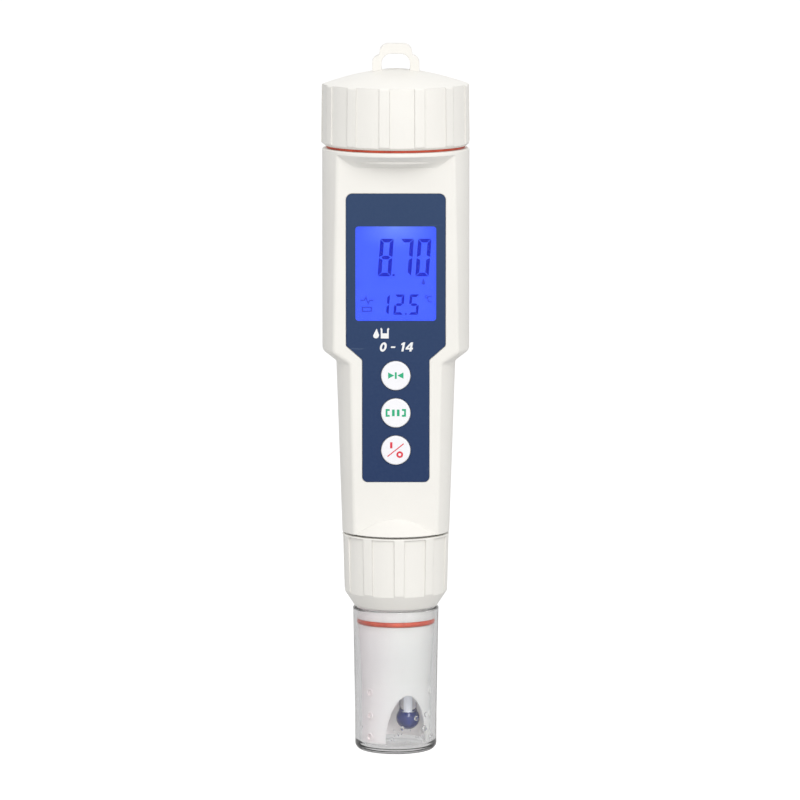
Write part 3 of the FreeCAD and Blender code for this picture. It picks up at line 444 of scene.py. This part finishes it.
def make_slot_materials():
    """One finish for each material slot of the record."""
    silver = ((0.82, 0.81, 0.79), (0.6, 0.59, 0.57))
    return {
        "white_shell": moulded("white_abs", SHELL_LIGHT, SHELL_DARK, edge=SHELL_EDGE_R),
        "overlay": overlay_material(),
        "window": window_material(),
        "lcd": lcd_material(),
        "black_plastic": moulded("black_abs", (0.035, 0.035, 0.037), (0.022, 0.022, 0.024), 0.42),
        "grey_plastic": moulded("grey_abs", (0.42, 0.43, 0.44), (0.34, 0.35, 0.36), 0.45),
        "light_guide": glow_sheet_material(),
        "led": moulded("led_lens", (0.85, 0.88, 0.7), (0.8, 0.8, 0.55), 0.2),
        "elastomer": striped_elastomer_material(),
        "circuit_board": board_material(),
        "switch_metal": metal("switch_steel", *silver),
        "chip": moulded("chip_epoxy", (0.03, 0.03, 0.032), (0.018, 0.018, 0.02), 0.55),
        "chip_ceramic": moulded("ceramic", (0.48, 0.36, 0.24), (0.38, 0.28, 0.18), 0.5),
        "screw": metal("zinc_screw", (0.72, 0.72, 0.7), (0.5, 0.5, 0.48), 0.34),
        "cell": metal("cell_steel", (0.85, 0.85, 0.84), (0.68, 0.68, 0.67), 0.2),
        "nickel": metal("nickel_plate", (0.78, 0.74, 0.66), (0.6, 0.56, 0.5), 0.22),
        "gold_contact": metal("gold_plate", (0.95, 0.7, 0.28), (0.8, 0.56, 0.2), 0.2),
        "key": moulded("key_silicone", (0.9, 0.9, 0.93), (0.86, 0.86, 0.9), 0.42, 0.000008, 0.4),
        "red_seal": rubber("red_silicone", (0.72, 0.105, 0.045), (0.55, 0.06, 0.028)),
        "electrode_white": electrode_material(),
        "potting": moulded("potting_resin", (0.3, 0.31, 0.33), (0.2, 0.21, 0.23), 0.3),
        "sensor_glass": sensor_glass_material(),
        "electrolyte": electrolyte_material(),
        "silver": metal("silver_chloride", (0.6, 0.58, 0.58), (0.4, 0.38, 0.4), 0.4),
        "probe_steel": metal("probe_stainless", (0.75, 0.75, 0.74), (0.6, 0.6, 0.6), 0.25),
        "junction": moulded("porous_junction", (0.8, 0.78, 0.72), (0.62, 0.6, 0.55), 0.8, 0.00003),
        "clear_cup": cup_material(),
    }


def dress_cad_nodes(slots):
    """Puts each CAD node's own finish on it and smooths its curved faces."""
    for part in frame["record"]["subparts"]:
        mesh = NODES[part["node"]].data
        mesh.materials.clear()
        mesh.materials.append(slots[part["material_slot"]])
        mesh.shade_smooth()
        mesh.set_sharp_from_angle(angle=SMOOTH_ANGLE)


# ---------------------------------------------------------------- new pieces
def shown(name, bm, material, body, smooth=False):
    """Turns a finished mesh into a piece that rides on a body."""
    bmesh.ops.recalc_face_normals(bm, faces=bm.faces[:])
    mesh = bpy.data.meshes.new(name)
    bm.to_mesh(mesh)
    bm.free()
    mesh.materials.append(material)
    if smooth:
        mesh.shade_smooth()
        mesh.set_sharp_from_angle(angle=SMOOTH_ANGLE)
    piece = bpy.data.objects.new(name, mesh)
    bpy.context.scene.collection.objects.link(piece)
    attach(piece, body)
    return piece


def lathe(bm, profile, centre, steps=48):
    """Closed turned shape; profile is (radius, z) in metres from the lower to the upper pole."""
    rings = []
    for radius, z in profile:
        count = steps if radius > 0 else 1
        turn = [2 * math.pi * i / steps for i in range(count)]
        rings.append([
            bm.verts.new((centre.x + radius * math.cos(a), centre.y + radius * math.sin(a), z))
            for a in turn])
    for lower, upper in zip(rings, rings[1:]):
        for i in range(steps):
            j = (i + 1) % steps
            corners = []
            for ring_verts, k in ((lower, i), (lower, j), (upper, j), (upper, i)):
                vert = ring_verts[k % len(ring_verts)]
                if vert not in corners:
                    corners.append(vert)
            bm.faces.new(corners)


def ball_profile(radius, z, start, end, steps=20):
    """Points up the side of a ball between two angles from its equator, in degrees."""
    points = []
    for i in range(steps + 1):
        angle = math.radians(start + (end - start) * i / steps)
        points.append((max(0.0, radius * math.cos(angle)), z + radius * math.sin(angle)))
    return points


# ---------------------------------------------------------------- flat marks
class Plane:
    """The flat front face of a CAD node; x runs right and z is the true height."""

    def __init__(self, node):
        mesh = NODES[node].data
        front = [p for p in mesh.polygons if p.normal.y < -0.99]
        face = max(front, key=lambda p: p.area)
        self.out = face.normal.copy()
        self.point = mesh.vertices[face.vertices[0]].co.copy()
        self.up = (Vector((0, 0, 1)) - self.out * self.out.z).normalized()

    def at(self, x, z, proud):
        here = Vector((x, self.point.y, z))
        off_plane = (here - self.point).dot(self.out)
        here = here - self.out * off_plane
        here = here + self.up * ((z - here.z) / self.up.z)
        return here + self.out * proud


def raised(name, shapes, plane, proud, thick, material, body, slot):
    """Thin closed prisms standing on a plane; each shape is (points, faces) in millimetres."""
    bm = bmesh.new()
    for points, faces in shapes:
        back = [bm.verts.new(plane.at(x * MM, z * MM, proud - thick)) for x, z in points]
        front = [bm.verts.new(vert.co + plane.out * thick) for vert in back]
        edges = [(face[i - 1], face[i]) for face in faces for i in range(len(face))]
        for face in faces:
            bm.faces.new([back[i] for i in reversed(face)])
            bm.faces.new([front[i] for i in face])
        for a, b in edges:
            if (b, a) not in edges:
                bm.faces.new((back[a], back[b], front[b], front[a]))
    return shown(name, bm, material, body)


def polygon(points):
    return points, [list(range(len(points)))]


def moved(shape, x, z, size=1.0, lean=0.0):
    """The shape scaled, slanted and put in its place on the plane."""
    points, faces = shape
    return [(x + (px + pz * lean) * size, z + pz * size) for px, pz in points], faces


def ribbon(points, width, closed=False):
    """A band of even width along a line, with mitred corners."""
    count = len(points)
    left = []
    right = []
    for i in range(count):
        here = Vector(points[i])
        before = Vector(points[i - 1]) if closed or i > 0 else None
        after = Vector(points[(i + 1) % count]) if closed or i < count - 1 else None
        came = (here - before).normalized() if before is not None else (after - here).normalized()
        goes = (after - here).normalized() if after is not None else came
        along = (came + goes).normalized()
        side = Vector((-along.y, along.x))
        reach = width / 2 / max(0.4, along.dot(goes))
        left.append(tuple(here + side * reach))
        right.append(tuple(here - side * reach))
    spans = count if closed else count - 1
    faces = [[i, (i + 1) % count, count + (i + 1) % count, count + i] for i in range(spans)]
    return left + right, faces


def arc(radius, start, end, steps, x=0.0, z=0.0, squash=1.0):
    angles = [math.radians(start + (end - start) * i / steps) for i in range(steps + 1)]
    return [(x + radius * math.cos(a), z + radius * squash * math.sin(a)) for a in angles]


def ring(radius, width, x=0.0, z=0.0, steps=32):
    return ribbon(arc(radius, 0, 360 - 360 / steps, steps - 1, x, z), width, True)


def oval(half_w, half_h, width, x=0.0, z=0.0, steps=32):
    turn = [2 * math.pi * i / steps for i in range(steps)]
    outer = [(x + half_w * math.cos(a), z + half_h * math.sin(a)) for a in turn]
    inner = [(x + (half_w - width) * math.cos(a), z + (half_h - width) * math.sin(a)) for a in turn]
    faces = [[i, (i + 1) % steps, steps + (i + 1) % steps, steps + i] for i in range(steps)]
    return outer + inner, faces


# ---------------------------------------------------------------- display
# Sizes in millimetres; figures give the left edge of each one
DIGIT_LEAN = 0.075
SEGMENT_GAP = 0.06
SEGMENT_STRENGTH = 0.95
READING_FIGURES = (("8", -4.62), ("7", 0.48), ("0", 4.95))
READING_Z = 123.15
READING_SIZE = (3.4, 9.6, 0.94)
READING_POINT = (-0.85, 0.55, 0.6)
DEGREES_FIGURES = (("1", -4.3), ("2", -0.62), ("5", 3.2))
DEGREES_Z = 113.3
DEGREES_SIZE = (2.45, 5.2, 0.64)
DEGREES_POINT = (2.35, 0.42, 0.42)
# The bars that are on, of a top, b upper right, c lower right, d bottom, e lower left,
# f upper left and g middle
BARS = {
    "0": "abcdef", "1": "bc", "2": "abged", "5": "afgcd", "7": "abc", "8": "abcdefg"}


def digit(figure, x, z, width, height, bar):
    """Seven-bar figure; each bar is a plate with mitred ends."""
    g = SEGMENT_GAP * height / 5
    w = width
    h = height
    t = bar
    mid = h / 2
    outlines = {
        "a": [(g, h), (w - g, h), (w - t - g, h - t), (t + g, h - t)],
        "b": [(w, h - g), (w - t, h - t - g), (w - t, mid + t / 2 + g), (w, mid + g)],
        "c": [(w, mid - g), (w - t, mid - t / 2 - g), (w - t, t + g), (w, g)],
        "d": [(g, 0), (w - g, 0), (w - t - g, t), (t + g, t)],
        "e": [(0, mid - g), (t, mid - t / 2 - g), (t, t + g), (0, g)],
        "f": [(0, h - g), (t, h - t - g), (t, mid + t / 2 + g), (0, mid + g)],
        "g": [(t / 2 + g, mid), (t + g, mid + t / 2), (w - t - g, mid + t / 2),
              (w - t / 2 - g, mid), (w - t - g, mid - t / 2), (t + g, mid - t / 2)],
    }
    return [moved(polygon(outlines[name]), x, z, 1.0, DIGIT_LEAN) for name in BARS[figure]]


def number(figures, base, size, point):
    """A row of figures and its decimal point; size is width, height and bar."""
    shapes = []
    for figure, left in figures:
        shapes += digit(figure, left, base, *size)
    point_left, point_w, point_h = point
    dot = polygon([(0, 0), (point_w, 0), (point_w, point_h), (0, point_h)])
    return shapes + [moved(dot, point_left, base, 1.0, DIGIT_LEAN)]


def add_display():
    plane = Plane("lcd_panel")
    dark = segment_material("lcd_segment", SEGMENT_BLUE, SEGMENT_STRENGTH)
    faint = segment_material("lcd_symbol", SEGMENT_FAINT, SEGMENT_STRENGTH)
    layer = (plane, SEGMENT_PROUD, SEGMENT_THICK)
    reading = number(READING_FIGURES, READING_Z, READING_SIZE, READING_POINT)
    raised("lcd_reading", reading, *layer, dark, "housing", "lcd")
    degrees = number(DEGREES_FIGURES, DEGREES_Z, DEGREES_SIZE, DEGREES_POINT)
    raised("lcd_temperature", degrees, *layer, dark, "housing", "lcd")

    drop = arc(0.55, 200, 340, 8, 0, 0.55) + [(0, 1.75)]
    symbols = [moved(polygon(drop), 7.0, 121.0)]
    symbols.append(ring(0.32, 0.22, 7.75, 117.9, 20))
    symbols.append(ribbon(arc(0.62, 50, 310, 12, 8.75, 117.3, 1.2), 0.28))
    line = 0.34
    pulse = [(-9.0, 117.0), (-8.0, 117.0), (-7.6, 117.8), (-7.0, 116.2), (-6.6, 117.0), (-5.6, 117.0)]
    symbols.append(ribbon(pulse, line))
    symbols.append(ribbon([(-8.5, 114.2), (-8.5, 115.2), (-6.2, 115.2), (-6.2, 114.2)], line, True))
    raised("lcd_symbols", symbols, *layer, faint, "housing", "lcd")


# ---------------------------------------------------------------- print on the overlay and keys
def ink_material(name, colour, roughness=0.4):
    """Screen-printed ink: slightly uneven cover and a fine orange-peel surface."""
    n = Nodes(name)
    cover = n.ranged(n.noise(2200.0, 3.0), 0.3, 0.75, 0.0, 0.3)
    thin = tuple(c * 0.86 for c in colour)
    tone = n.blend(cover, colour, thin)
    normal = n.bump(n.noise(3000.0, 2.0), 0.000006, 0.5)
    gloss = n.ranged(cover, 0.0, 0.3, roughness, roughness + 0.1)
    return n.finish(n.principled(Base_Color=tone, Roughness=gloss, Normal=normal))


def add_overlay_print():
    plane = Plane("front_overlay")
    white = ink_material("white_ink", PRINT_WHITE)
    layer = (plane, INK_PROUD, INK_THICK)
    lean = 0.2
    bold = 0.55
    numbers_z = 104.1
    icons_z = 107.45

    drop = arc(0.8, 160, 380, 16, 0, 0.8) + [(0, 2.75)]
    beaker = [(-1.05, 2.55), (-0.8, 2.3), (-0.8, 0.2), (0.8, 0.2), (0.8, 2.3), (1.05, 2.55)]
    marks = [
        moved(polygon(drop), -5.05, icons_z, 0.92, 0.08),
        moved(ribbon(beaker, 0.42), -2.8, icons_z),
        moved(polygon([(-0.6, 0.41), (0.6, 0.41), (0.6, 1.3), (-0.6, 1.3)]), -2.8, icons_z)]
    raised("print_scale_sign", marks, *layer, white, "housing", "overlay")

    zero = oval(0.85, 1.2, bold, 0, 1.15)
    one = polygon([
        (-0.1, 0.0), (0.45, 0.0), (0.45, 2.35), (-0.05, 2.35), (-0.5, 1.95), (-0.5, 1.6), (-0.1, 1.75)])
    four = ([
        (0.2, 0.0), (0.75, 0.0), (0.75, 0.5), (1.0, 0.5), (1.0, 0.95), (0.75, 0.95), (0.75, 2.35),
        (0.2, 2.35), (-0.85, 0.95), (-0.85, 0.5), (0.2, 0.5), (0.2, 0.95), (-0.25, 0.95), (0.2, 1.6)],
        [[0, 1, 2, 5, 6, 7, 13, 11, 10], [2, 3, 4, 5], [7, 8, 12, 13], [8, 9, 10, 11, 12]])
    dash = polygon([(-0.55, 0.9), (0.55, 0.9), (0.55, 1.3), (-0.55, 1.3)])
    places = ((zero, -3.4), (dash, -0.9), (one, 1.5), (four, 3.2))
    numbers = [moved(shape, x, numbers_z, 1.0, lean) for shape, x in places]
    raised("print_scale_range", numbers, *layer, white, "housing", "overlay")


def print_on_key(name, key, shapes, ink):
    """Marks drawn about the middle of a key's face."""
    low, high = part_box(key)
    middle = (low.z + high.z) / 2 / MM
    marks = [moved(shape, 0, middle) for shape in shapes]
    raised(name, marks, Plane(key), INK_PROUD, INK_THICK, ink, key, "key")


def add_key_print():
    green = ink_material("green_ink", KEY_GREEN)
    red = ink_material("red_ink", KEY_RED)
    line = 0.48
    print_on_key("print_calibrate", "calibrate_key", [
        polygon([(-1.95, 0.8), (-0.4, 0.0), (-1.95, -0.8)]),
        polygon([(1.95, 0.8), (1.95, -0.8), (0.4, 0.0)]),
        ribbon([(0, -0.85), (0, 0.85)], line)], green)

    bracket = [(-1.55, 0.75), (-2.35, 0.75), (-2.35, -0.75), (-1.55, -0.75)]
    pause_w = 0.66
    print_on_key("print_hold", "hold_key", [
        ribbon(bracket, line),
        ribbon([(-x, -h) for x, h in bracket], line),
        ribbon([(-0.62, -0.85), (-0.62, 0.85)], pause_w),
        ribbon([(0.62, -0.85), (0.62, 0.85)], pause_w)], green)

    slash_w = 0.26
    bar_w = 0.6
    print_on_key("print_power", "power_key", [
        ribbon([(-2.1, -1.65), (2.0, 1.65)], slash_w),
        ribbon([(-1.15, 0.45), (-1.15, 2.05)], bar_w),
        ring(0.62, line, 1.0, -1.15)], red)


# ---------------------------------------------------------------- sensor and cup details
WHITE_TUBE_R = 0.00075
SOLUTION_GAP = 0.00045
NECK_FLARE_DEG = 6.0        # the ball stops this much short of the stem, and a cone joins them
NECK_TOP = 0.86             # parts of the ball's radius above its middle
SOLUTION_TOP_DEG = 42.0
SOLUTION_DIP = 0.43
SOLUTION_DIP_WIDTH = 1.4


def add_sensor(glass, solution):
    """Bulb and stem blown from one piece of glass, with the solution and its filling tube inside."""
    low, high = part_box("glass_bulb")
    centre = (low + high) / 2
    radius = (high.x - low.x) / 2
    ball_z = low.z + radius
    stem_low, stem_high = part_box("glass_stem")
    stem_r = (stem_high.x - stem_low.x) / 2
    neck = math.degrees(math.acos(stem_r / radius))

    bm = bmesh.new()
    profile = ball_profile(radius, ball_z, -90, neck - NECK_FLARE_DEG)
    profile += [(stem_r, ball_z + radius * NECK_TOP), (stem_r, stem_high.z), (0.0, stem_high.z)]
    lathe(bm, profile, centre)
    glass_piece = shown("sensor_glass_body", bm, glass, "electrode", True)
    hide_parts("glass_stem", "glass_bulb")

    inner = radius - SOLUTION_GAP
    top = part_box("bulb_electrolyte")[1].z
    bm = bmesh.new()
    profile = ball_profile(inner, ball_z, -90, SOLUTION_TOP_DEG)
    dip = ball_z + radius * SOLUTION_DIP
    profile += [
        (WHITE_TUBE_R * SOLUTION_DIP_WIDTH, dip), (WHITE_TUBE_R, dip), (WHITE_TUBE_R, top), (0.0, top)]
    lathe(bm, profile, centre)
    solution_piece = shown("sensor_solution", bm, solution, "electrode", True)
    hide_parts("bulb_electrolyte")


BEAD_HEIGHTS = (0.0041, 0.0096, 0.0156)
BEAD_PHASE = math.radians(-47.0)
BEAD_COUNT = 3
GUARD_RADIUS = 0.0088
BEAD_RING_R = 0.00082
BEAD_WIRE_R = 0.0002


def bead_ring(bm, place, out, around=20, section=8):
    """Small raised ring that lies flat on the guard; out is the direction away from the axis."""
    side = Vector((-out.y, out.x, 0.0))
    up = Vector((0.0, 0.0, 1.0))
    rows = []
    for i in range(around):
        a = 2 * math.pi * i / around
        radial = side * math.cos(a) + up * math.sin(a)
        row = []
        for j in range(section):
            b = 2 * math.pi * j / section
            offset = radial * (BEAD_RING_R + BEAD_WIRE_R * math.cos(b))
            offset += out * (BEAD_WIRE_R * math.sin(b))
            row.append(bm.verts.new(place + offset))
        rows.append(row)
    for i in range(around):
        for j in range(section):
            k = (j + 1) % section
            following = rows[(i + 1) % around]
            bm.faces.new((rows[i][j], following[j], following[k], rows[i][k]))


def add_guard_beads(material):
    """Three columns of small rings moulded on the outside of the guard."""
    bm = bmesh.new()
    for height in BEAD_HEIGHTS:
        for i in range(BEAD_COUNT):
            angle = BEAD_PHASE + 2 * math.pi * i / BEAD_COUNT - math.pi / 2
            out = Vector((math.cos(angle), math.sin(angle), 0.0))
            bead_ring(bm, out * GUARD_RADIUS + Vector((0, 0, height)), out)
    shown("guard_beads", bm, material, "electrode", True)


DROPLET_SEED = 7
DROPLETS_EACH = 12
DROPLET_FLAT = 0.45         # how much a drop is flattened against the wall
DROPLET_SAG = 0.25
DROPLET_SINK = 0.35
CUP_INNER_R = 0.0096
# Drops around the guard's window: degrees from the front, height and radius in millimetres
WINDOW_DROPS = (
    (32.8, 9.3, 0.6), (49.0, 6.4, 0.7), (9.6, 6.9, 0.55), (-6.0, 4.1, 0.5),
    (4.7, 5.4, 0.45), (66.0, 4.0, 0.5), (52.0, 9.9, 0.6), (44.0, 4.3, 0.5))


def add_cup_droplets():
    """Water drops that cling to the inside of the cup around the sensor window."""
    n = Nodes("water_drop")
    normal = n.bump(n.noise(900.0, 1.0), 0.00001, 0.3)
    tint = n.blend(n.noise(300.0), (0.97, 0.98, 1.0), (1.0, 1.0, 1.0))
    water = n.finish(n.lit_through(n.principled(
        Base_Color=tint, Roughness=0.02, Normal=normal, Transmission_Weight=1.0, IOR=1.33)))
    draw = random.Random(DROPLET_SEED)
    drops = list(WINDOW_DROPS)
    near_window = ((-6, 60), (2.8, 7.0), (0.15, 0.28))
    elsewhere = ((80, 330), (3.0, 14.0), (0.2, 0.42))
    for spread in (near_window, elsewhere):
        for _ in range(DROPLETS_EACH):
            drops.append(tuple(draw.uniform(*span) for span in spread))
    bm = bmesh.new()
    for degrees, height, size_mm in drops:
        angle = math.radians(degrees - 90)
        out = Vector((math.cos(angle), math.sin(angle), 0.0))
        size = size_mm * MM
        drop = bmesh.ops.create_icosphere(bm, subdivisions=2, radius=size)["verts"]
        for vert in drop:
            flat = vert.co - out * vert.co.dot(out) * DROPLET_FLAT
            sag = 1.0 + DROPLET_SAG * max(0.0, -vert.co.z / size)
            vert.co = Vector((flat.x, flat.y, flat.z * sag)) + out * (CUP_INNER_R - size * DROPLET_SINK)
            vert.co.z += height * MM
    shown("cup_droplets", bm, water, "storage_cap", True)


# ---------------------------------------------------------------- stage, light, camera
def add_floor():
    """Pale floor; what it throws back on the pen is less than what the lens sees of it."""
    n = Nodes("studio_floor")
    direct = n.add("ShaderNodeLightPath").outputs["Is Camera Ray"]
    tone = n.ranged(n.noise(1.2, 2.0), *NOISE_SPAN, 0.0, 0.03)
    colour = n.blend(direct, (FLOOR_BOUNCE,) * 3, (FLOOR_SEEN,) * 3)
    colour = n.blend(tone, colour, (FLOOR_PATCHES,) * 3)
    normal = n.bump(n.noise(400.0, 2.0), 0.00002, 0.3)
    glow = n.ranged(direct, 0.0, 1.0, 0.0, FLOOR_GLOW)
    material = n.finish(n.principled(
        Base_Color=colour, Roughness=0.85, Normal=normal, Specular_IOR_Level=0.1,
        Emission_Color=(1.0, 1.0, 1.0), Emission_Strength=glow))
    mesh = bpy.data.meshes.new("floor")
    signs = ((-1, -1), (1, -1), (1, 1), (-1, 1))
    corners = [(x * FLOOR_HALF, y * FLOOR_HALF, FLOOR_Z) for x, y in signs]
    mesh.from_pydata(corners, [], [(0, 1, 2, 3)])
    mesh.materials.append(material)
    floor = bpy.data.objects.new("floor", mesh)
    bpy.context.scene.collection.objects.link(floor)


def add_room_light():
    """Even white room that is dimmer towards both sides, which draws the edges of glass."""
    world = bpy.data.worlds.new("studio")
    world.use_nodes = True
    tree = world.node_tree
    background = tree.nodes["Background"]
    background.inputs["Color"].default_value = (1.0, 1.0, 1.0, 1.0)
    coordinates = tree.nodes.new("ShaderNodeTexCoord")
    split = tree.nodes.new("ShaderNodeSeparateXYZ")
    side = tree.nodes.new("ShaderNodeMath")
    side.operation = "ABSOLUTE"
    dim = tree.nodes.new("ShaderNodeMapRange")
    dim.inputs["From Min"].default_value = ROOM_DIMS_FROM
    dim.inputs["From Max"].default_value = 1.0
    dim.inputs["To Min"].default_value = ROOM_LIGHT
    dim.inputs["To Max"].default_value = ROOM_SIDE_LIGHT
    path = tree.nodes.new("ShaderNodeLightPath")
    seen = tree.nodes.new("ShaderNodeMapRange")
    seen.inputs["To Max"].default_value = 1.0
    tree.links.new(coordinates.outputs["Generated"], split.inputs[0])
    tree.links.new(split.outputs["X"], side.inputs[0])
    tree.links.new(side.outputs[0], dim.inputs["Value"])
    tree.links.new(path.outputs["Is Camera Ray"], seen.inputs["Value"])
    tree.links.new(dim.outputs["Result"], seen.inputs["To Min"])
    tree.links.new(seen.outputs["Result"], background.inputs["Strength"])
    bpy.context.scene.world = world


def aim(thing, target):
    direction = Vector(target) - thing.location
    thing.rotation_euler = direction.to_track_quat("-Z", "Y").to_euler()


def add_key_softbox():
    light = bpy.data.lights.new("key_softbox", "AREA")
    light.shape = "RECTANGLE"
    light.size, light.size_y = KEY_SIZE
    light.energy = KEY_POWER
    light.color = KEY_COLOUR
    softbox = bpy.data.objects.new("key_softbox", light)
    bpy.context.scene.collection.objects.link(softbox)
    softbox.location = KEY_AT
    aim(softbox, KEY_AIMS_AT)


def add_camera():
    camera = bpy.data.objects.new("camera", bpy.data.cameras.new("camera"))
    bpy.context.scene.collection.objects.link(camera)
    camera.location = CAMERA_AT
    aim(camera, CAMERA_LOOKS_AT)
    camera.data.lens = CAMERA_LENS
    camera.data.sensor_width = CAMERA_SENSOR
    camera.data.clip_end = 50.0
    bpy.context.scene.camera = camera
    bpy.context.scene.view_settings.view_transform = "Standard"


slot_materials = make_slot_materials()
dress_cad_nodes(slot_materials)
add_display()
add_overlay_print()
add_key_print()
add_sensor(slot_materials["sensor_glass"], slot_materials["electrolyte"])
add_guard_beads(slot_materials["electrode_white"])
add_cup_droplets()
add_floor()
add_room_light()
add_key_softbox()
add_camera()
